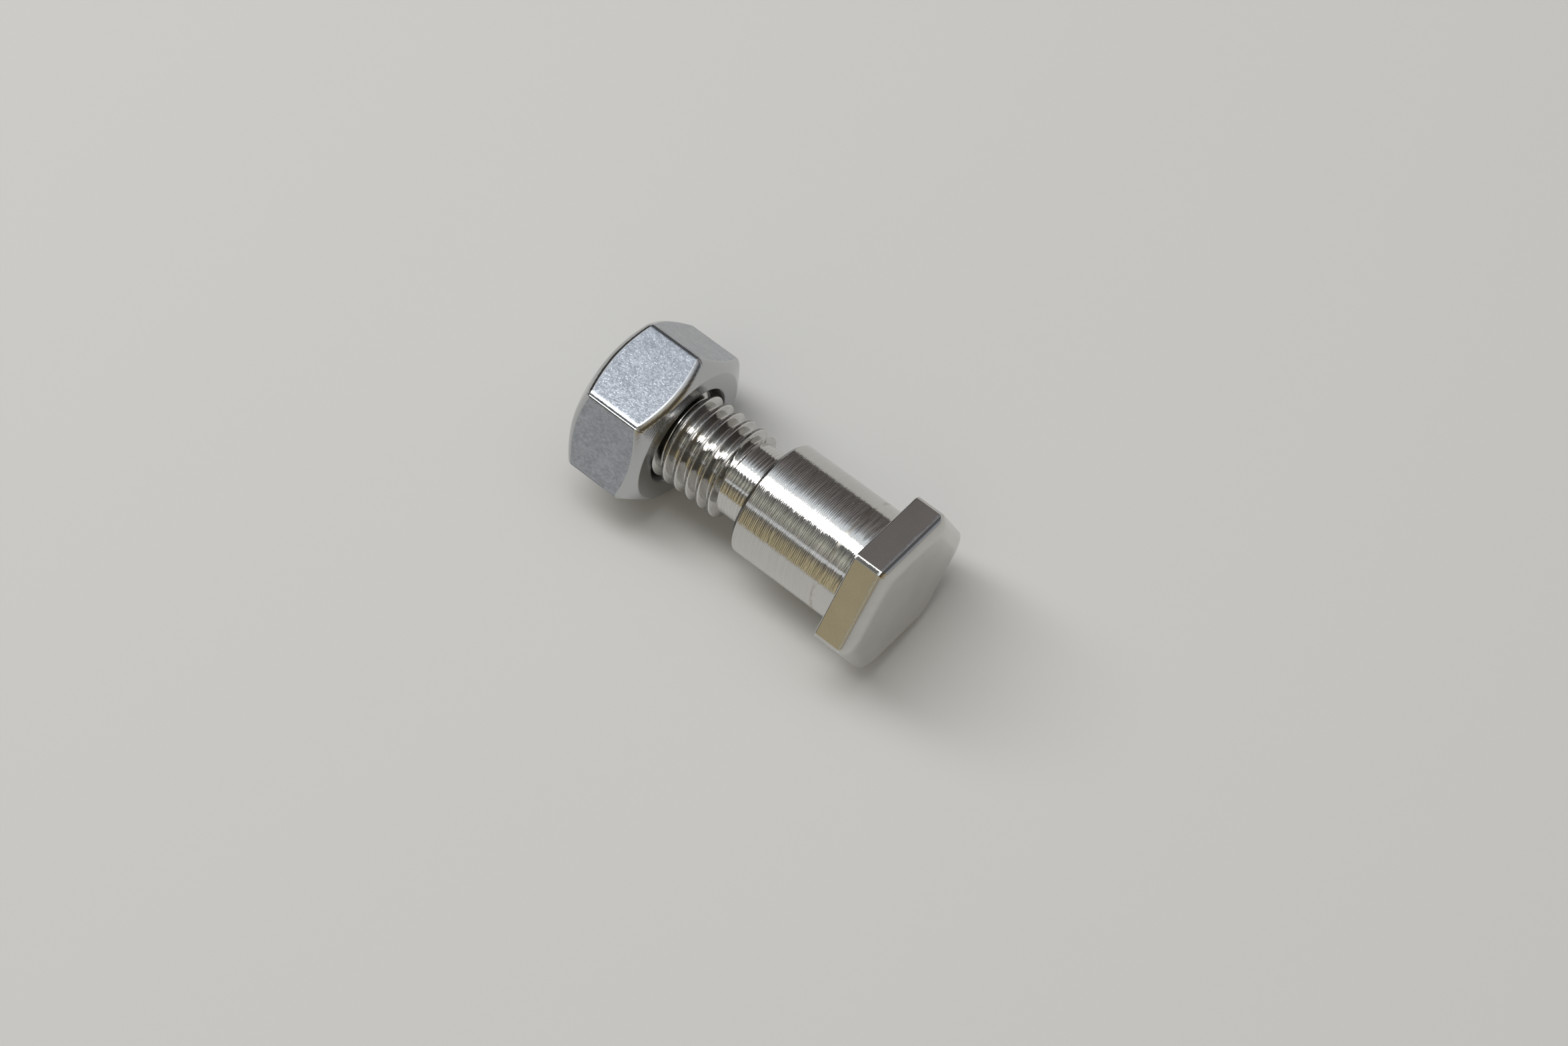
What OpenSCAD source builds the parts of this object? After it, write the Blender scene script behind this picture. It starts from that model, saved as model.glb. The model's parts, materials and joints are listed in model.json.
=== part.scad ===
// Hexagon-head shoulder bolt with its nut, lying on a table as it comes to rest.
// Millimetres, +Z up. The bolt's axis runs along X, head at +X, nut towards -X.

/* [Head] */
// Across flats of the head's hexagon
head_af = 13.3; // [11:0.1:17]
// Head thickness, from its underside to the top of the crown
head_thick = 3.2; // [2.5:0.1:6]
// How far the crowned face falls from its middle to the flats
crown_drop = 0.75; // [0.3:0.05:1.2]
// How far in from the flats the crown starts to fall
crown_run = 1.5; // [0.8:0.1:3]
// Amount polished off each upright corner of the hexagon
head_ease = 0.11; // [0.05:0.01:0.3]
// Turn of a head corner from straight up, seen along the bolt
head_turn = -13; // [-29:1:-3]

/* [Shoulder] */
// Diameter of the plain ground shoulder
shoulder_d = 10.16; // [9.2:0.01:10.8]
// Length of the shoulder under the head
shoulder_len = 10.6; // [8:0.1:20]
// Edge break at the shoulder's threaded end
shoulder_edge = 0.3; // [0.1:0.05:0.6]

/* [Undercut] */
// Diameter at the bottom of the relief groove
undercut_d = 6.6; // [5.6:0.1:7.2]
// Width of the relief groove
undercut_len = 2.6; // [1.5:0.1:4]
// Radius in the corner between groove and shoulder
undercut_r = 0.25; // [0.1:0.05:0.5]

/* [Thread] */
// Outside diameter over the thread
thread_d = 7.94; // [7.5:0.01:8.6]
// Distance from one thread to the next
thread_pitch = 1.1545; // [0.9:0.0005:1.5]
// Width of the land left on each crest
thread_land = 0.245; // [0.15:0.005:0.27]
// Angle between the two flanks of the thread
thread_angle = 55; // [50:1:60]
// Where the thread starts round the bolt, turned from straight up
thread_turn = -34; // [-180:1:180]
// Length of the threaded end
thread_len = 13.45; // [12:0.05:24]
// Bevel on the free end
thread_point = 0.75; // [0.3:0.05:1.2]

/* [Nut] */
// Across flats of the nut
nut_af = 13.2; // [12:0.1:17]
// Thickness of the nut
nut_thick = 7.1; // [5:0.1:9]
// Diameter of the round flat left on each face by the bevels
nut_face_d = 11.7; // [10.8:0.1:13]
// Angle of the bevels from the face
nut_bevel = 30; // [20:1:40]
// Amount polished off each corner of the nut
nut_ease = 0.09; // [0.05:0.01:0.3]
// Diameter of the countersink at each face
nut_sink_d = 9; // [8.8:0.1:10]
// Gap between thread and nut, on the radius
nut_clear = 0.05; // [0.02:0.01:0.1]
// Distance from the head's underside to the nut's near face
nut_at = 19.15; // [17:0.05:30]

/* [Hidden] */
$fn = 96;
// How far trimming and cutting shapes run past the faces they cut
over = 1;
// Head
crown_r = (crown_run*crown_run + crown_drop*crown_drop)/(2*crown_drop);
head_corner_r = head_af/2/cos(30) - head_ease;
head_strip = 30 - acos(head_af/2/head_corner_r);
// Stations along the bolt, from the head's underside
groove_end = shoulder_len + undercut_len;
bolt_end = groove_end + thread_len;
thread_depth = 0.64*thread_pitch;
thread_lead = thread_depth;
// Vee between two crests: a run of arcs round the shank, each leaning so that its ends meet the next
arcs = 4;
arc_lap = 1.5;
vee_skim = 0.2;
flank_slope = tan(thread_angle/2);
vee_half = (thread_pitch - thread_land)/2;
root_half = vee_half - thread_depth*flank_slope;
arc_r = (thread_d - thread_depth)/2;
arc_lean = atan(thread_pitch/arcs/2/(arc_r*sin(180/arcs)));
first_vee = groove_end + thread_lead + thread_pitch/2;
first_arc = -floor((first_vee - groove_end)/thread_pitch*arcs);
last_arc = ceil((bolt_end + vee_half - first_vee)/thread_pitch*arcs);
// Nut
nut_bore_r = thread_d/2 + nut_clear;
nut_corner_r = nut_af/2/cos(30) - nut_ease;
nut_cone_top = nut_af/2/cos(30) + over;
nut_cone_h = (nut_cone_top - nut_face_d/2)*tan(nut_bevel);
nut_flat_in = (nut_af - nut_face_d)/2*tan(nut_bevel);
// Rest: the head's lowest corner and the far end of the nut's lower flat touch
head_low = head_corner_r*cos(max(0, abs(head_turn) - head_strip));
rest_tilt = atan((head_low - nut_af/2)/(nut_at + nut_thick - nut_flat_in));
rest_up = head_low*cos(rest_tilt);
far_x = bolt_end*cos(rest_tilt) + (thread_d/2 - thread_point)*sin(rest_tilt);
near_x = head_thick*cos(rest_tilt) + (head_af/2 - crown_run)*sin(rest_tilt);
rest_x = (far_x - near_x)/2;

// Lays a piece built along Z, head underside at 0, on the table
module lay() {
  translate([rest_x, 0, rest_up])
    rotate([0, -90 - rest_tilt, 0])
      children();
}

// Section of the head across one pair of flats, crown upwards
module head_section() {
  intersection() {
    translate([-head_af/2, 0]) square([head_af, head_thick]);
    union() {
      translate([-head_af/2, 0]) square([head_af, head_thick - crown_drop]);
      translate([-(head_af/2 - crown_run), 0]) square([head_af - 2*crown_run, head_thick]);
      for (side = [-1, 1])
        translate([side*(head_af/2 - crown_run), head_thick - crown_r]) circle(r = crown_r);
    }
  }
}

// Hexagon head: three crowned bars crossed at 60 degrees, corners eased
module head() {
  intersection() {
    for_bar(0);
    for_bar(1);
    for_bar(2);
    translate([0, 0, -head_thick - over]) cylinder(r = head_corner_r, h = head_thick + 2*over);
  }
}

// One crowned bar, its flats facing the direction of hexagon side k
module for_bar(k) {
  rotate([0, 0, head_turn + 30 + 60*k])
    rotate([-90, 0, 0])
      linear_extrude(height = 2*head_af, center = true) head_section();
}

// Half section of the shank: shoulder, relief groove and threaded end
module shank_section() {
  difference() {
    polygon([
      [0, -head_thick/2],
      [shoulder_d/2, -head_thick/2],
      [shoulder_d/2, shoulder_len - shoulder_edge],
      [shoulder_d/2 - shoulder_edge, shoulder_len],
      [undercut_d/2 + undercut_r, shoulder_len],
      [undercut_d/2 + undercut_r, shoulder_len + undercut_r],
      [undercut_d/2, shoulder_len + undercut_r],
      [undercut_d/2, groove_end],
      [thread_d/2, groove_end + thread_lead],
      [thread_d/2, bolt_end - thread_point],
      [thread_d/2 - thread_point, bolt_end],
      [0, bolt_end]
    ]);
    translate([undercut_d/2 + undercut_r, shoulder_len + undercut_r]) circle(r = undercut_r);
  }
}

// Section of the vee between two crests
module vee_section() {
  polygon([
    [thread_d/2 - thread_depth, -root_half],
    [thread_d/2 + vee_skim, -vee_half - vee_skim*flank_slope],
    [thread_d/2 + vee_skim, vee_half + vee_skim*flank_slope],
    [thread_d/2 - thread_depth, root_half]
  ]);
}

// The vee of the right-handed thread, wound along the shank arc by arc
module thread_vee() {
  for (k = [first_arc : last_arc])
    translate([0, 0, first_vee + thread_pitch*k/arcs])
      rotate([0, 0, thread_turn + 360*k/arcs])
        rotate([arc_lean, 0, 0])
          rotate([0, 0, -180/arcs - arc_lap])
            rotate_extrude(angle = 360/arcs + 2*arc_lap) vee_section();
}

// The bolt, in one piece
module shoulder_bolt() {
  color([0.78, 0.78, 0.77])
    lay()
      union() {
        head();
        difference() {
          rotate_extrude() shank_section();
          thread_vee();
        }
      }
}

// Blank of the nut: hexagon bar with a bevel turned on both ends
module nut_blank() {
  intersection() {
    rotate([0, 0, 30]) cylinder(r = nut_af/2/cos(30), h = nut_thick, $fn = 6);
    translate([0, 0, -over]) cylinder(r = nut_corner_r, h = nut_thick + 2*over);
    rotate_extrude()
      polygon([
        [0, 0],
        [nut_face_d/2, 0],
        [nut_cone_top, nut_cone_h],
        [nut_cone_top, nut_thick - nut_cone_h],
        [nut_face_d/2, nut_thick],
        [0, nut_thick]
      ]);
  }
}

// Bore of the nut with a countersink at each end
module nut_bore() {
  sink = nut_sink_d/2 - nut_bore_r;
  rotate_extrude()
    polygon([
      [0, -over],
      [nut_sink_d/2 + over, -over],
      [nut_bore_r, sink],
      [nut_bore_r, nut_thick - sink],
      [nut_sink_d/2 + over, nut_thick + over],
      [0, nut_thick + over]
    ]);
}

// The nut, part way along the thread
module hex_nut() {
  color([0.74, 0.76, 0.79])
    lay()
      translate([0, 0, nut_at])
        difference() {
          nut_blank();
          nut_bore();
        }
}

shoulder_bolt();
hex_nut();
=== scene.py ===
# %% [markdown]
# This lesson dresses a shoulder bolt and the nut on its thread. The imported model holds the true
# sizes and the way the nut runs, so it is loaded first and never changed. The bright plated
# surfaces, the real thread and the softened edges are added on top of it.

# %% Load the frame and keep its box
import json
import math

import bmesh
import bpy
import numpy as np
from mathutils import Matrix, Vector


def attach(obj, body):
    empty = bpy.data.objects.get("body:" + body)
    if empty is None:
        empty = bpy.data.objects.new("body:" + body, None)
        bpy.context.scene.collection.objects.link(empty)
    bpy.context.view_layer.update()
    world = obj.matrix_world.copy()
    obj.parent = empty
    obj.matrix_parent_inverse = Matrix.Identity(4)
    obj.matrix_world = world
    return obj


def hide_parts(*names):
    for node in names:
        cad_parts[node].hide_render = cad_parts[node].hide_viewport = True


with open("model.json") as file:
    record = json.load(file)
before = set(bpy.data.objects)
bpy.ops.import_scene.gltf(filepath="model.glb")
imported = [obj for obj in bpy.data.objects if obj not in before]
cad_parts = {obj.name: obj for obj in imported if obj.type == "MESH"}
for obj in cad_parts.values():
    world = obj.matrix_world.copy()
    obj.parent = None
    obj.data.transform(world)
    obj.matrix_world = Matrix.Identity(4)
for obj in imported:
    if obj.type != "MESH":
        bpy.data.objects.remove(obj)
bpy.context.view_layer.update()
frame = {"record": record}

# %% [markdown]
# Every turned part is easiest to describe along its own axis. The record tells where the shoulder
# lies and which way it points, so the bolt's own axes follow from it: up from the axis, across it,
# and along it from the underside of the head to the threaded end. All sizes below are in
# millimetres on those axes, and one function takes them into the shared frame.

# %% The bolt's own axes
mounts = {mount["name"]: mount for mount in frame["record"]["mounts"]}
shoulder = mounts["shoulder"]
along = np.array(shoulder["axis"], float)
along /= np.linalg.norm(along)
across = np.array([0.0, 1.0, 0.0])
up = np.cross(across, along)
half_shoulder = shoulder["dims"]["length_mm"] / 2000
underside = np.array(shoulder["pos_m"], float) - half_shoulder * along


def place(x, y, z):
    """Point = underside of the head + x up + y across + z along, from millimetres to metres."""
    x, y, z = np.broadcast_arrays(x, y, z)
    steps = x[..., None] * up + y[..., None] * across + z[..., None] * along
    return underside + 0.001 * steps


print("axis tilt in degrees:", round(math.degrees(math.asin(-along[2])), 3))

# %% [markdown]
# Each piece is a closed skin over a grid of points: columns run round the axis and rows run along
# the profile. A modelling tool such as a lathe would do for round parts, but a grid also takes the
# hexagons and the thread. On a thread the grid leans with the pitch, so the last column meets the
# first one a whole turn further on.

# %% A closed skin over a grid
def skin(name, points, turn_rows=0, ring=False):
    """Four-sided faces join each grid point to the next row and the next column.

    Columns close on themselves, turn_rows further on. Rows end in poles, or in a ring meet again.
    The sum of the corner tetrahedra gives the volume, and its sign says which way faces turn.
    """
    rows, columns = points.shape[:2]
    index = np.arange(rows * columns).reshape(rows, columns)
    if ring:
        index = np.vstack([index, index[:1]])
    inner = np.stack([index[:-1, :-1], index[:-1, 1:], index[1:, 1:], index[1:, :-1]], -1)
    last = index[: len(index) - turn_rows, -1]
    first = index[turn_rows:, 0]
    seam = np.stack([last[:-1], first[:-1], first[1:], last[1:]], -1)
    quads = np.vstack([inner.reshape(-1, 4), seam])
    corners = points.reshape(-1, 3)
    a, b, c, d = (corners[quads[:, k]] - underside for k in range(4))
    volume = (np.cross(a, b) * c).sum() + (np.cross(a, c) * d).sum()
    if volume < 0:
        quads = quads[:, ::-1]
    mesh = bpy.data.meshes.new(name)
    mesh.from_pydata(corners.tolist(), [], quads.tolist())
    if not ring:
        work = bmesh.new()
        work.from_mesh(mesh)
        bmesh.ops.remove_doubles(work, verts=work.verts, dist=1e-7)
        work.to_mesh(mesh)
        work.free()
    mesh.shade_smooth()
    piece = bpy.data.objects.new(name, mesh)
    bpy.context.scene.collection.objects.link(piece)
    print(name, len(mesh.polygons), "faces,", round(abs(volume) / 6 * 1e9, 1), "mm3")
    return piece


# %% [markdown]
# The head is a low hexagon, turned from bar and polished: its face is crowned, with straight sides
# to the crown, and its corners were turned down to narrow bright strips. A bevel on a plain hexagon
# would round every edge alike. Here a hexagon is a radius for every angle: the flat's distance,
# cut off by the turned radius at the corners, with a soft change from one to the other. Any smaller
# hexagon on the crown then comes from the same columns.

# %% Columns round a hexagon
def unit(degrees):
    """Unit vector at an angle from straight up, turning towards across."""
    turn = np.radians(degrees)
    return np.stack([np.cos(turn), np.sin(turn)], -1)


def softer_least(first, second, soft):
    """Least of two values = half their sum less half the root of their difference squared + soft."""
    return 0.5 * (first + second - np.sqrt((first - second) ** 2 + soft**2))


def hexagon_columns(near_corner):
    """Angles from the nearest corner, in all six sectors: close together at corners, wide on flats."""
    near_corner = np.array(near_corner)
    sector = np.concatenate([-near_corner[:0:-1], near_corner, [30.0]])
    return np.tile(sector, 6), (sector + 60.0 * np.arange(6)[:, None]).ravel()


def hexagon(from_corner, apothem, ease, soft):
    """Radius = softer least of apothem / cos(angle from the flat's middle) and the turned corner."""
    flat = apothem / np.cos(np.radians(30 - np.abs(from_corner)))
    turned = apothem / math.cos(math.radians(30)) - ease
    return softer_least(flat, turned, soft)


# %% The crowned head
head_apothem = 6.65
head_top = 3.2
crown_drop = 0.75
crown_run = 1.5
crown_radius = (crown_run**2 + crown_drop**2) / (2 * crown_drop)
rim_radius = 0.08
rim_turn = math.pi / 2 - math.asin(crown_run / crown_radius)
rim_start = head_top - crown_drop - rim_radius * math.tan(rim_turn / 2)
foot_radius = 0.14
head_turn = -13
head_ease, ease_growth = 0.11, 0.12
head_soft, soft_growth = 0.012, 0.06
hold = 0.01


def head_profile():
    """Inset from the flats and height, from the middle of the underside to the middle of the face.

    The foot is a quarter circle, the rim a short arc, and the crown a circle that meets the face.
    A row held close to each arc keeps the flat beside it flat in its shading.
    """
    foot = np.linspace(0, math.pi / 2, 7)
    rim = np.linspace(0, rim_turn, 7)
    fall = np.linspace(rim_radius * (1 - math.cos(rim_turn)) + hold, crown_run, 18)
    rise = head_top - crown_radius + np.sqrt(crown_radius**2 - (crown_run - fall) ** 2)
    inset = np.concatenate(
        [
            [head_apothem, 3.0, 0.5, foot_radius + hold],
            foot_radius * (1 - np.sin(foot)),
            [0, 0, 0, 0],
            rim_radius * (1 - np.cos(rim)),
            fall,
            [crown_run + 5 * hold, 3.0, 5.0, head_apothem],
        ]
    )
    height = np.concatenate(
        [
            [0, 0, 0, 0],
            foot_radius * (1 - np.cos(foot)),
            [foot_radius + 2 * hold, 0.9, 1.7, rim_start - 2 * hold],
            rim_start + rim_radius * np.sin(rim),
            rise,
            [head_top, head_top, head_top, head_top],
        ]
    )
    return inset, height


inset, height = (v[:, None] for v in head_profile())
near_head_corner = [0, 0.5, 1.0, 1.2, 1.35, 1.5, 1.65, 1.85, 2.2, 3.0, 6, 12, 18, 24]
from_corner, angle = hexagon_columns(near_head_corner)
size = head_apothem - inset
ease = (head_ease + ease_growth * inset) * size / head_apothem
reach = hexagon(from_corner, size, ease, head_soft + soft_growth * inset)
reach = np.maximum(reach, 0) * (size > 0)
ways = unit(angle + head_turn)
head = skin("bolt_head", place(reach * ways[:, 0], reach * ways[:, 1], -height))

# %% [markdown]
# The shoulder and the relief groove behind it are turned in one setting on a lathe. Their profile
# of radius and station is carried round the axis. It starts inside the head and ends inside the
# thread, so that no gap can show. The edge at the threaded end is broken with a small bevel. Smooth
# shading turns the normals near a hard edge, so a second row stands close to each hidden end.

# %% The shoulder and the relief groove
shoulder_radius = 5.08
shoulder_end = 10.6
edge_break = 0.3
edge_round = 0.05
groove_radius = 3.3
groove_end = 13.2
groove_fillet = 0.25
hidden_start, hidden_end = -0.8, 13.5
shank_columns = 192


def shank_profile():
    """Radius and station: the shoulder, its bevel, the end face, a fillet and the groove.

    Each edge of the bevel is an arc that turns by 45 degrees, so the bevel meets both faces softly.
    """
    quarter = np.linspace(0, math.pi / 2, 10)
    swing = np.linspace(0, math.pi / 4, 5)
    tangent = edge_round * math.tan(math.pi / 8)
    bevel_start = shoulder_end - edge_break - tangent
    outer_edge = shoulder_radius - edge_round
    inner_edge = shoulder_radius - edge_break - tangent
    radius = np.concatenate(
        [
            [0, 4.0, 5.0],
            [shoulder_radius] * 4,
            outer_edge + edge_round * np.cos(swing),
            inner_edge + edge_round * np.cos(swing + math.pi / 4),
            [4.7, 4.2, groove_radius + groove_fillet + 0.02],
            groove_radius + groove_fillet * (1 - np.sin(quarter)),
            [groove_radius] * 4,
            [2.0, 0],
        ]
    )
    station = np.concatenate(
        [
            [hidden_start] * 3,
            [hidden_start + 0.1, hidden_start + 0.2, 5.0, bevel_start - 0.03],
            bevel_start + edge_round * np.sin(swing),
            shoulder_end - edge_round + edge_round * np.sin(swing + math.pi / 4),
            [shoulder_end] * 3,
            shoulder_end + groove_fillet * (1 - np.cos(quarter)),
            [shoulder_end + groove_fillet + 0.02, 12.0, hidden_end - 0.1],
            [hidden_end] * 3,
        ]
    )
    return radius, station


radius, station = shank_profile()
ways = unit(np.arange(shank_columns) * 360 / shank_columns)
shank = skin(
    "bolt_shank",
    place(radius[:, None] * ways[:, 0], radius[:, None] * ways[:, 1], station[:, None]),
)

# %% [markdown]
# The thread is a fine one, 55 degrees between its flanks, cut right-handed into the blank. Its
# crests are narrow lands of the blank, its flanks are smooth and its roots have a small radius.
# A screw modifier could sweep a profile, but its ends stay open. Here each row of the grid follows
# one line of the thread from turn to turn, so the crests stay crisp. The blank rises from the groove
# in a steep wall, where the first crest is a little ragged, and it ends in a bevelled point.

# %% The thread's form
pitch = 1.1545
crest_radius = 3.97
thread_depth = 0.64 * pitch
root_round = 0.1 * pitch
crest_round = 0.05 * pitch
flank = math.radians(27.5)
crest_station = groove_end + thread_depth
crest_angle = -34.0


def thread_form(turns):
    """Height below the crest for a place within the pitch, counted in turns from a crest.

    A straight flank runs down from the soft edge of the land to a circle in the root, tangent to
    it. Near the land the height is a smooth greatest of the flank's and 0.
    """
    x = np.abs((turns + 0.5) % 1 - 0.5) * pitch
    inner = pitch / 2 - x
    reach = root_round * math.cos(flank)
    floor = thread_depth - root_round + np.sqrt(np.maximum(root_round**2 - inner**2, 0))
    foot = thread_depth - root_round * (1 - math.sin(flank))
    side = foot - (inner - reach) / math.tan(flank)
    painted_highlight_lip = 0.5 * (side + np.sqrt(side**2 + crest_round**2))
    return np.where(inner < reach, floor, painted_highlight_lip)


print("thread depth in mm:", round(float(thread_form(np.array(0.5))), 3))

# %% The threaded end
bolt_end = 26.65
point_bevel = 0.75
rows_per_turn = 30
lead_slope = 5
thread_columns = 168
thread_start = 12.9
cap_length = 0.4
core_radius = 2.6


def threaded_end():
    """Radius = the least of the thread form and the blank, on a grid that leans by a pitch.

    The blank's radius is the least of a steep ragged lead, its full size and a 45 degree point.
    Past either end the station stops and the radius runs in to the axis, which closes the skin.
    """
    span = bolt_end - thread_start + 2 * cap_length + pitch
    count = int(span / pitch * rows_per_turn) + 2
    row = thread_start - cap_length - pitch + np.arange(count)[:, None] * pitch / rows_per_turn
    angle = np.arange(thread_columns) * 360 / thread_columns
    reach = row + pitch * angle / 360
    turns = (row - crest_station) / pitch + crest_angle / 360
    turn = np.radians(angle)
    ragged = 0.02 * np.sin(5 * turn + 1) + 0.012 * np.sin(13 * turn) + 0.008 * np.sin(31 * turn + 2)
    lead = groove_radius + lead_slope * (reach - groove_end + ragged)
    point = crest_radius - (reach - bolt_end + point_bevel)
    blank = np.minimum(np.minimum(lead, point), crest_radius)
    radius = np.minimum(crest_radius - thread_form(turns), blank)
    past = np.maximum(np.maximum(thread_start - reach, reach - bolt_end), 0)
    radius = np.maximum(radius, core_radius) * np.maximum(1 - past / cap_length, 0)
    ways = unit(angle)
    return place(radius * ways[:, 0], radius * ways[:, 1], np.clip(reach, thread_start, bolt_end))


thread = skin("bolt_thread", threaded_end(), turn_rows=rows_per_turn)

# %% [markdown]
# The nut is a full hexagon nut, bevelled on both faces, with a countersunk bore and the matching
# thread inside it. Where each bevel cuts the flats it leaves the curved edge that every nut has.
# A boolean cut would give hard edges, so the profile is worked out for every column instead: up
# the flat, round the soft edge, along the bevel and the face, through the threaded bore and back.
# Buffing ran over the flats one way, so each flat falls away a little towards one of its edges.

# %% The nut
nut_apothem = 6.6
nut_start = 19.15
nut_thick = 7.1
nut_turn = 30
nut_ease = 0.07
nut_soft = 0.03
buff_width = 0.5
buff_radius = 2.2
face_radius = 6.0
bevel = math.radians(30)
arris_radius = 0.3
bevel_radius = 1.2
arris_turn = math.radians(25)
face_round = 0.25
sink_radius = 4.5
bore_clear = 0.06
nut_minor = 3.42
bore_rows = 112
flat_share = np.array([0, 0.4, 0.8, 1])[:, None]


def nut_half(outer):
    """Radius and depth of one half of the nut, from the middle of a flat to the countersink.

    The bevel leaves the face at face_radius and falls at 30 degrees. From the flat, a tight arc
    turns 25 degrees and a wide one the rest, so that the bevel starts rounded and ends straight.
    """
    edge = (outer - face_radius) * math.tan(bevel)
    arc = np.linspace(0, math.pi / 2 - bevel, 13)[:, None]
    tight = np.minimum(arc, arris_turn)
    wide = np.maximum(arc, arris_turn)
    inward = arris_radius * (1 - np.cos(tight)) + bevel_radius * (math.cos(arris_turn) - np.cos(wide))
    outward = arris_radius * np.sin(tight) + bevel_radius * (np.sin(wide) - math.sin(arris_turn))
    start = edge + outward[-1] - inward[-1] * math.tan(bevel)
    flat_depth = nut_thick / 2 + flat_share * (start + 0.02 - nut_thick / 2)
    arc_radius = outer - inward
    arc_depth = start - outward
    back = face_round * math.tan(bevel / 2)
    swing = np.linspace(bevel, 0, 6)[:, None]
    round_radius = face_radius - back + face_round * np.sin(swing) + 0 * outer
    round_depth = face_round * (1 - np.cos(swing)) + 0 * outer
    mix = np.array([0.06, 0.5, 0.94])[:, None]
    cone_radius = arc_radius[-1] + mix * (round_radius[0] - arc_radius[-1])
    cone_depth = arc_depth[-1] + mix * (round_depth[0] - arc_depth[-1])
    face = np.array([face_radius - back - 0.02, 5.0, sink_radius + 0.03])[:, None] + 0 * outer
    radius = np.vstack([0 * flat_share + outer, arc_radius, cone_radius, round_radius, face])
    depth = np.vstack([flat_depth, arc_depth, cone_depth, round_depth, 0 * face])
    return radius, depth


near_nut_corner = [0, 0.25, 0.5, 0.7, 0.9, 1.1, 1.4, 1.8, 2.4, 3.2, 4.2, 5.5, 7.5, 11, 16, 21, 26]
from_corner, angle = hexagon_columns(near_nut_corner)
along_flat = nut_apothem * np.tan(np.radians(30 - from_corner))
to_edge = nut_apothem * math.tan(math.radians(30)) - along_flat
buffed = np.maximum(buff_width - to_edge, 0) ** 2 / (2 * buff_radius) * (from_corner >= 0)
outer = hexagon(from_corner, nut_apothem - buffed, nut_ease, nut_soft)
ways = unit(angle + nut_turn)
half_radius, half_depth = nut_half(outer)
print("nut across corners in mm:", round(2 * float(outer.max()), 2))

# %% The threaded bore, and the whole nut
def bore():
    """Radius = the greatest of the mating thread, its bored-out crests and the 45 degree countersinks."""
    depth = np.linspace(0, nut_thick, bore_rows)[:, None]
    angle = np.degrees(np.arctan2(ways[:, 1], ways[:, 0]))
    turns = (nut_start + depth - crest_station) / pitch - (angle - crest_angle) / 360
    thread_wall = crest_radius + bore_clear - thread_form(turns)
    sink = sink_radius - np.minimum(depth, nut_thick - depth)
    return np.maximum(np.maximum(thread_wall, nut_minor), sink), depth + 0 * angle


bore_radius, bore_depth = bore()
nut_radius = np.vstack([half_radius, bore_radius, half_radius[:0:-1]])
nut_depth = np.vstack([half_depth, bore_depth, nut_thick - half_depth[:0:-1]])
nut = skin(
    "nut_body",
    place(nut_radius * ways[:, 0], nut_radius * ways[:, 1], nut_start + nut_depth),
    ring=True,
)
on_flat = np.zeros(nut_radius.shape, np.float32)
on_flat[: len(flat_share)] = 1
on_flat[1 - len(flat_share) :] = 1
mark = nut.data.attributes.new("on_flat", "FLOAT", "POINT")
mark.data.foreach_set("value", on_flat.ravel())

# %% [markdown]
# Shader nodes are easier to read as sums. A small class wraps one socket: the signs add Math nodes,
# and one method makes any other node from its type, its settings and what goes into it.

# %% Sockets with signs
class Wire:
    """One output socket of a node tree or, without a socket, the tree that new nodes go into."""

    def __init__(self, tree, socket=None):
        self.tree = tree
        self.socket = socket

    def node(self, kind, settings=None, inputs=None, out=0):
        """Adds a node, gives it its settings, then its values and links, and returns one output."""
        made = self.tree.nodes.new(kind)
        for key, value in (settings or {}).items():
            if key == "stops":
                ramp = made.color_ramp.elements
                while len(ramp) < len(value):
                    ramp.new(0.5)
                for stop, (position, colour) in zip(ramp, value):
                    stop.position = position
                    stop.color = colour
            else:
                setattr(made, key, value)
        for key, value in (inputs or {}).items():
            if isinstance(value, Wire):
                self.tree.links.new(value.socket, made.inputs[key])
            else:
                made.inputs[key].default_value = value
        return Wire(self.tree, made.outputs[out])

    def math(self, operation, first, second=0.0):
        """One Math node."""
        return self.node("ShaderNodeMath", {"operation": operation}, {0: first, 1: second})

    def __add__(self, other):
        return self.math("ADD", self, other)

    def __radd__(self, other):
        return self.math("ADD", other, self)

    def __sub__(self, other):
        return self.math("SUBTRACT", self, other)

    def __rsub__(self, other):
        return self.math("SUBTRACT", other, self)

    def __mul__(self, other):
        return self.math("MULTIPLY", self, other)

    def __rmul__(self, other):
        return self.math("MULTIPLY", other, self)

    def between(self, low, high):
        """0 below low, 1 above high and a smooth step from one to the other."""
        settings = {"interpolation_type": "SMOOTHSTEP"}
        values = {"Value": self, "From Min": low, "From Max": high}
        return self.node("ShaderNodeMapRange", settings, values)


# %% [markdown]
# All finishes are measured on the bolt's own axes, in millimetres. Object coordinates are the same
# as the shared frame here, because every piece sits at the origin. A Mapping node turns them
# until the third one runs along the bolt.

# %% A finish on the bolt's own axes
tilt = math.asin(-along[2])
shift = -1000 * np.array([underside @ up, underside @ across, underside @ along])


def new_finish(name):
    """A material with one metal shader. Returns it, its tree's root, the shader and the coordinates."""
    finish = bpy.data.materials.new(name)
    finish.use_nodes = True
    tree = finish.node_tree
    shader = tree.nodes["Principled BSDF"]
    shader.inputs["Metallic"].default_value = 1.0
    root = Wire(tree)
    here = root.node("ShaderNodeTexCoord", out="Object")
    turned = {
        "Vector": here,
        "Location": shift.tolist(),
        "Rotation": (0, math.pi / 2 + tilt, 0),
        "Scale": (1000, 1000, 1000),
    }
    spot = root.node("ShaderNodeMapping", {"vector_type": "POINT"}, turned)
    return finish, root, shader, spot


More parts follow.
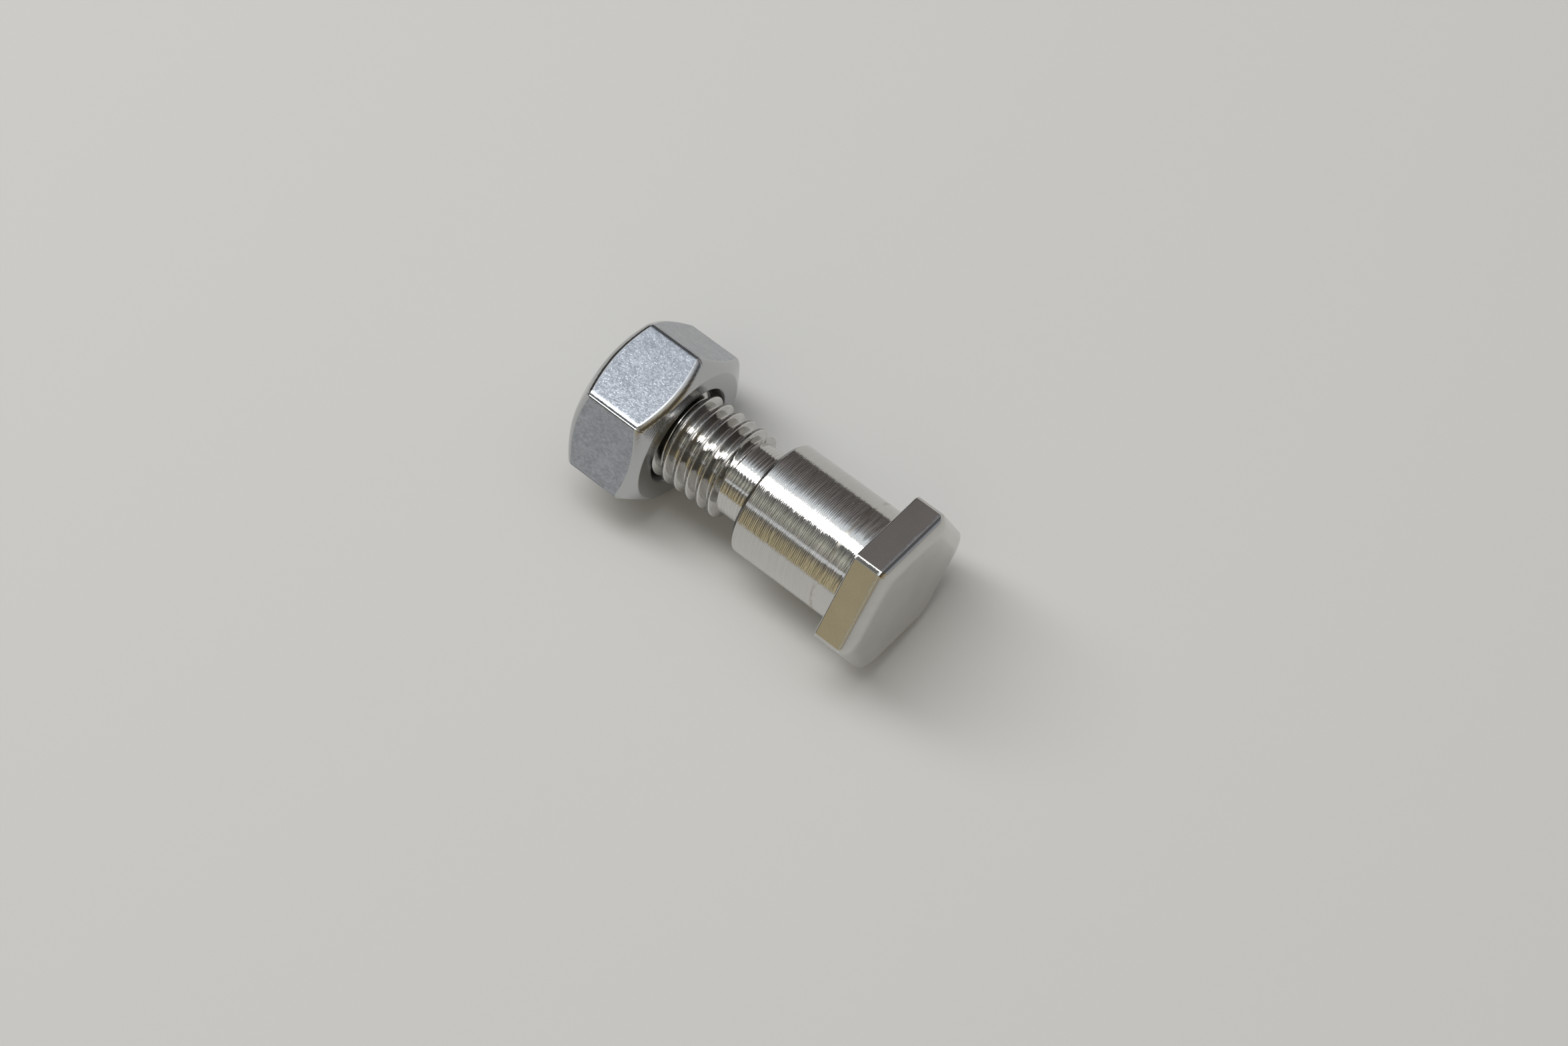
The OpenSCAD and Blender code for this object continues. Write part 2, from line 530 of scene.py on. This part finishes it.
def stretched(root, spot, scales):
    """The coordinates times one factor per axis, so that a pattern can be drawn out into streaks."""
    values = {0: spot, 1: scales}
    return root.node("ShaderNodeVectorMath", {"operation": "MULTIPLY"}, values)


def coordinate(root, spot, index):
    """One of the three coordinates, by its index."""
    return root.node("ShaderNodeSeparateXYZ", None, {0: spot}, out=index)


def from_axis(root, spot):
    """Distance from the axis = length of the coordinates without the third one."""
    flat_spot = stretched(root, spot, (1, 1, 0))
    return root.node("ShaderNodeVectorMath", {"operation": "LENGTH"}, {0: flat_spot}, out="Value")


def mottle(root, where, scale, detail=3.0, rough=0.55):
    """Soft noise from 0 to 1."""
    values = {"Vector": where, "Scale": scale, "Detail": detail, "Roughness": rough}
    return root.node("ShaderNodeTexNoise", {"noise_dimensions": "3D"}, values)


def blend(root, share, first, second):
    """Colour mix: first where share is 0, second where it is 1."""
    settings = {"data_type": "RGBA", "blend_type": "MIX"}
    return root.node("ShaderNodeMix", settings, {0: share, 6: first, 7: second}, out=2)


def feed(root, shader, **links):
    """Links wires to the shader's sockets by name."""
    for name, wire in links.items():
        root.tree.links.new(wire.socket, shader.inputs[name.replace("_", " ")])


def relief(root, heights, depth_mm):
    """A Bump node: heights from 0 to 1 stand for depth_mm of real relief."""
    values = {"Height": heights, "Strength": 1.0, "Distance": depth_mm / 1000}
    return root.node("ShaderNodeBump", None, values)


def dress(piece, finish):
    """Gives a piece its finish, and says how many nodes that has."""
    piece.data.materials.append(finish)
    print(piece.name, "wears", finish.name, "of", len(finish.node_tree.nodes), "nodes")


# %% [markdown]
# The bolt is bright nickel-plated steel. The head was tumbled smooth, so it is nearly a mirror,
# with faint hairlines and a slightly uneven gloss. The shoulder keeps the fine rings of the lathe
# tool, about a sixth of a millimetre apart, and the groove rings twice as coarse. The rings are only
# a few thousandths deep, so they are relief, tone and gloss in the finish rather than mesh. The rim
# of the head is rubbed, and a faint scuffed ring near it and a few pale specks are the other wear.

# %% The polished head
bright = (0.61, 0.6, 0.58, 1)
shaded = (0.57, 0.56, 0.54, 1)
head_finish, root, shader, spot = new_finish("head_plating")
depth = -1 * coordinate(root, spot, 2)
cloud = mottle(root, spot, 0.35)
hairs = mottle(root, stretched(root, spot, (0.6, 9.0, 2.0)), 1.2, 4.0, 0.7)
grain = mottle(root, spot, 7.0, 2.0)
ragged = mottle(root, spot, 1.3, 4.0, 0.65)
near_rim = depth + 0.6 * (ragged - 0.5)
rim = near_rim.between(2.16, 2.42) * (1 - depth.between(2.44, 2.47))
near_foot = depth + 0.4 * (ragged - 0.5)
foot = 1 - near_foot.between(0.06, 0.24)
worn = root.math("MAXIMUM", rim, foot * 0.6)
smudge = mottle(root, stretched(root, spot, (1.2, 1.2, 0.8)), 0.9, 4.0, 0.6).between(0.55, 0.75)
gloss = 0.05 + 0.05 * cloud.between(0.35, 0.7) + 0.04 * hairs.between(0.55, 0.75)
gloss = gloss + 0.07 * smudge + 0.2 * worn
tint = blend(root, cloud.between(0.3, 0.75), bright, shaded)
feed(root, shader, Base_Color=blend(root, worn, tint, (0.64, 0.66, 0.69, 1)))
heights = 0.4 * hairs + 0.4 * grain + 0.5 * worn * grain
feed(root, shader, Roughness=gloss, Normal=relief(root, heights, 0.004))
dress(head, head_finish)

# %% The turned shoulder and groove
shoulder_ring, groove_ring = 0.158, 0.3
shank_finish, root, shader, spot = new_finish("turned_plating")
height = coordinate(root, spot, 2)
reach = from_axis(root, spot)
feed_line = height - reach
in_groove = height.between(shoulder_end - 0.1, shoulder_end + 0.1)
drift = mottle(root, stretched(root, spot, (0.15, 0.15, 2.2)), 1.0, 2.0)
fine = root.math("SINE", feed_line * (2 * math.pi / shoulder_ring) + drift * 2.5)
coarse = root.math("SINE", feed_line * (2 * math.pi / groove_ring) + drift * 3.0)
wave = 0.5 + 0.5 * (fine * (1 - in_groove) + coarse * in_groove)
each = mottle(root, stretched(root, spot, (0.12, 0.12, 6.0)), 1.0, 2.0, 0.6).between(0.3, 0.7)
dashes = mottle(root, stretched(root, spot, (0.9, 0.9, 9.0)), 1.0, 3.0, 0.6).between(0.35, 0.7)
smears = mottle(root, stretched(root, spot, (0.5, 0.5, 1.6)), 1.0, 3.0)
cut = 0.35 + 0.65 * height.between(1.5, 5.0)
rib = wave * (0.35 + 0.65 * each) * cut
marks = 0.75 * rib + 0.25 * dashes
gloss = 0.04 + 0.12 * rib + 0.03 * dashes + 0.04 * smears.between(0.4, 0.75)
tint = blend(root, marks, (0.66, 0.65, 0.63, 1), (0.54, 0.533, 0.52, 1))
edge_station = shoulder_end - edge_break
edge_radius = shoulder_radius - edge_break
# Painted shade: the bevel at the shoulder's threaded end gets a dark colour, for the shade and dark
# reflection along the shoulder's end.
painted_shade_line = height.between(edge_station - 0.02, edge_station + 0.02)
painted_shade_line = painted_shade_line * reach.between(edge_radius - 0.05, edge_radius)
tint = blend(root, painted_shade_line, tint, (0.22, 0.215, 0.21, 1))
scuff = height.between(2.08, 2.16) * (1 - height.between(2.4, 2.5)) * smears.between(0.4, 0.58)
specks = mottle(root, spot, 4.5, 1.0).between(0.76, 0.8)
tint = blend(root, scuff * 0.6, tint, (0.36, 0.32, 0.26, 1))
tint = blend(root, specks, tint, (0.8, 0.79, 0.77, 1))
gloss = gloss + 0.1 * scuff + 0.3 * specks
uneven = mottle(root, stretched(root, spot, (0.2, 0.2, 1.5)), 1.0, 4.0, 0.65)
heights = rib * (0.5 + 0.6 * in_groove) + 0.2 * dashes + 5.5 * uneven
feed(root, shader, Base_Color=tint, Roughness=gloss, Normal=relief(root, heights, 0.007))
dress(shank, shank_finish)

# %% [markdown]
# On the thread the tool left the flanks as smooth as a mirror, while the narrow lands on the crests
# are dull and a little torn. The rounded edges on both sides of each land are painted lighter, a
# painted highlight. The distance from the axis tells land, edge and flank apart.

# %% The thread
thread_finish, root, shader, spot = new_finish("thread_plating")
reach = from_axis(root, spot)
land = reach.between(crest_radius - 0.02, crest_radius - 0.008)
painted_highlight_lip = reach.between(crest_radius - 0.08, crest_radius - 0.045) * (1 - land)
torn = mottle(root, stretched(root, spot, (4.0, 4.0, 9.0)), 1.0, 3.0, 0.65)
streaks = mottle(root, stretched(root, spot, (0.7, 0.7, 7.0)), 1.0, 3.0, 0.6)
clean = blend(root, streaks.between(0.35, 0.7), bright, (0.5, 0.49, 0.47, 1))
dull = blend(root, torn.between(0.4, 0.65), (0.16, 0.157, 0.152, 1), (0.34, 0.334, 0.326, 1))
# Painted highlight: the rounded edges beside each land get a lighter colour than the flanks.
tint = blend(root, painted_highlight_lip, clean, (0.74, 0.73, 0.71, 1))
feed(root, shader, Base_Color=blend(root, land, tint, dull))
gloss = 0.08 + 0.06 * streaks.between(0.4, 0.7) + 0.06 * painted_highlight_lip + 0.2 * land
heights = (land + 0.5 * painted_highlight_lip) * torn + (1 - land) * streaks * 0.25
feed(root, shader, Roughness=gloss, Normal=relief(root, heights, 0.012))
dress(thread, thread_finish)

# %% [markdown]
# The nut is cold-formed and plated a cooler white. Its flats are satin, with a fine sparkling
# mottle, and its bevels were turned, so they carry rings. An attribute on the mesh says where the
# flats are. The bore and countersink are painted dark, as painted shade round the thread.

# %% The satin nut
nut_ring = 0.16
nut_finish, root, shader, spot = new_finish("nut_plating")
flats = root.node("ShaderNodeAttribute", {"attribute_name": "on_flat"}, out="Fac")
reach = from_axis(root, spot)
# Painted shade: the bore and countersink get a dark colour where shade falls round the thread.
painted_bore_shade = 1 - reach.between(sink_radius - 0.25, sink_radius + 0.05)
speckle = mottle(root, stretched(root, spot, (8.0, 8.0, 5.0)), 1.0, 4.0, 0.7)
dents = mottle(root, stretched(root, spot, (10.0, 10.0, 6.0)), 1.0, 2.0, 0.5).between(0.6, 0.75)
cloud = mottle(root, spot, 1.1, 3.0)
mottling = mottle(root, stretched(root, spot, (3.4, 3.4, 2.6)), 1.0, 4.0, 0.7)
rings = root.math("SINE", reach * (2 * math.pi / nut_ring))
white = (0.44, 0.462, 0.5, 1)
grey = (0.3, 0.316, 0.345, 1)
grain = flats * (0.4 * speckle + 0.4 * mottling + 0.2 * cloud) + (1 - flats) * 0.5
plain = blend(root, grain.between(0.4, 0.6), grey, white)
plain = blend(root, flats, (0.52, 0.525, 0.535, 1), plain)
feed(root, shader, Base_Color=blend(root, painted_bore_shade, plain, (0.16, 0.155, 0.15, 1)))
satin = 0.12 + 0.08 * speckle.between(0.4, 0.65)
gloss = flats * satin + (1 - flats) * (0.09 + 0.05 * cloud) + painted_bore_shade * 0.2
heights = flats * (0.12 * speckle + 0.2 * dents + 0.25 * mottling)
heights = heights + (1 - flats) * (0.08 * rings + 0.2 * speckle)
feed(root, shader, Roughness=gloss, Normal=relief(root, heights, 0.01))
dress(nut, nut_finish)

# %% [markdown]
# The pieces now take the places of the plain solids. The head, shank and thread are one piece of
# metal on the real bolt, so all three ride on the bolt and stand for its single solid.

# %% Pieces ride on their bodies
for piece in (head, shank, thread):
    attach(piece, "bolt")
    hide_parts("shoulder_bolt")
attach(nut, "nut")
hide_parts("hex_nut")

# %% [markdown]
# The floor is one pale matt sheet, wide enough that no view looks past it.

# %% The floor
floor_mesh = bpy.data.meshes.new("floor")
half = 3.0
corners = [[-half, -half, 0], [half, -half, 0], [half, half, 0], [-half, half, 0]]
floor_mesh.from_pydata(corners, [], [[0, 1, 2, 3]])
floor = bpy.data.objects.new("floor", floor_mesh)
bpy.context.scene.collection.objects.link(floor)
paper = bpy.data.materials.new("pale_paper")
paper.use_nodes = True
sheet = paper.node_tree.nodes["Principled BSDF"]
sheet.inputs["Base Color"].default_value = (0.62, 0.613, 0.6, 1)
sheet.inputs["Roughness"].default_value = 0.9
floor_mesh.materials.append(paper)
print("floor in m:", 2 * half)

# %% [markdown]
# Bright metal shows what stands round it, so the light is what draws its shape. A long soft box
# hangs overhead and leans to the nut's end: it gives the white band along the shoulder and the
# gleams between the threads. A dim strip in front draws the thin second line. The room itself is
# warm in front and at the head's end, light overhead and dark behind, so that neighbouring flats
# differ in tone. Its walls also darken towards the nut's end, so that every small slope along the
# bolt, such as a lathe ring, catches a lighter or a darker part of them.

# %% The lights
def soft_box(name, aim, distance, wide, long, turn, brightness, colour):
    """A rectangular lamp at a distance along aim that faces the object, turned about its middle.

    Power = brightness x pi x area, so that it looks equally bright from any distance.
    """
    lamp = bpy.data.lights.new(name, "AREA")
    lamp.shape = "RECTANGLE"
    lamp.size = long
    lamp.size_y = wide
    lamp.energy = brightness * math.pi * wide * long
    lamp.color = colour
    made = bpy.data.objects.new(name, lamp)
    back = Vector(aim).normalized()
    side = Vector((1, 0, 0))
    side = (side - side.dot(back) * back).normalized()
    axes = Matrix((side, back.cross(side), back)).transposed().to_4x4()
    spin = Matrix.Rotation(math.radians(turn), 4, "Z")
    made.matrix_world = Matrix.Translation(back * distance) @ axes @ spin
    bpy.context.scene.collection.objects.link(made)
    print(name, "power in W:", round(lamp.energy, 3))


soft_box("overhead_box", (-0.4, 0.0, 0.9), 0.6, 0.165, 0.75, 13, 6.2, (1.0, 1.0, 1.0))
soft_box("front_strip", (-0.3, -0.72, 0.62), 0.6, 0.07, 0.35, 0, 0.5, (0.86, 0.93, 1.0))

# %% The room
room_tones = [
    (0.0, (0.38, 0.33, 0.21, 1)),
    (0.05, (0.37, 0.32, 0.21, 1)),
    (0.095, (0.2, 0.185, 0.16, 1)),
    (0.15, (0.29, 0.28, 0.26, 1)),
    (0.26, (0.46, 0.46, 0.4, 1)),
    (0.34, (0.26, 0.26, 0.235, 1)),
    (0.375, (0.18, 0.18, 0.175, 1)),
    (0.46, (0.15, 0.15, 0.15, 1)),
    (0.56, (0.96, 0.99, 1.0, 1)),
    (0.64, (0.9, 0.95, 1.0, 1)),
    (0.7, (0.63, 0.67, 0.71, 1)),
    (0.74, (0.37, 0.38, 0.4, 1)),
    (0.79, (0.26, 0.255, 0.255, 1)),
    (0.88, (0.165, 0.15, 0.147, 1)),
    (1.0, (0.1, 0.093, 0.09, 1)),
]
world = bpy.data.worlds.new("room")
bpy.context.scene.world = world
world.use_nodes = True
room = Wire(world.node_tree)
background = world.node_tree.nodes["Background"]
direction = room.node("ShaderNodeTexCoord", out="Generated")
to_head, to_back, upward = (coordinate(room, direction, index) for index in range(3))
walls = room.node("ShaderNodeValToRGB", {"stops": room_tones}, {0: to_back * 0.5 + 0.5})
overhead = to_back.between(-0.12, 0.0) * (1 - to_back.between(0.28, 0.4))
end_to_end = (to_head.between(-0.42, -0.2) - 0.5) * (1 - overhead)
sheen = to_head.between(-0.15, 0.05) * (1 - to_head.between(0.25, 0.4))
level = 1 + end_to_end + 0.8 * sheen * overhead
walls = room.node("ShaderNodeVectorMath", {"operation": "SCALE"}, {0: walls, "Scale": level})
end_tone = blend(room, to_back.between(0.3, 0.6), (0.42, 0.34, 0.21, 1), (0.33, 0.36, 0.41, 1))
shade = upward.between(0.1, 0.18) * (1 - upward.between(0.5, 0.72))
end_tone = blend(room, shade * 0.8, end_tone, (0.03, 0.028, 0.025, 1))
around = blend(room, to_head.between(0.35, 0.85), walls, end_tone)
around = blend(room, (-1 * to_head).between(0.55, 0.9), around, (0.06, 0.055, 0.05, 1))
feed(room, background, Color=around)
print("room of", len(room_tones), "tones and", len(room.tree.nodes), "nodes")

# %% [markdown]
# The camera looks down at the bolt from the head's side. Its place was found by fitting the known
# sizes of the hexagons, the shoulder and the thread to their outlines in the picture.

# %% The camera
azimuth, elevation, roll = (math.radians(v) for v in (49.014, 68.751, -9.997))
aim = Vector((0.003139, -0.00089, 0.0065))
distance = 0.26111
focal_pixels = 5001
image_width = 2350
sensor_width = 36
back = Vector(
    (
        math.sin(azimuth) * math.cos(elevation),
        -math.cos(azimuth) * math.cos(elevation),
        math.sin(elevation),
    )
)
right = Vector((math.cos(azimuth), math.sin(azimuth), 0))
level_up = back.cross(right)
side = math.cos(roll) * right + math.sin(roll) * level_up
top = math.cos(roll) * level_up - math.sin(roll) * right
lens = bpy.data.cameras.new("camera")
lens.sensor_width = sensor_width
lens.lens = focal_pixels / image_width * sensor_width
lens.clip_start = 0.01
lens.clip_end = 20
camera = bpy.data.objects.new("camera", lens)
turn = Matrix((side, top, back)).transposed()
camera.matrix_world = Matrix.Translation(aim + back * distance) @ turn.to_4x4()
bpy.context.scene.collection.objects.link(camera)
bpy.context.scene.camera = camera
bpy.context.scene.view_settings.view_transform = "Standard"
print("lens in mm:", round(lens.lens, 2))
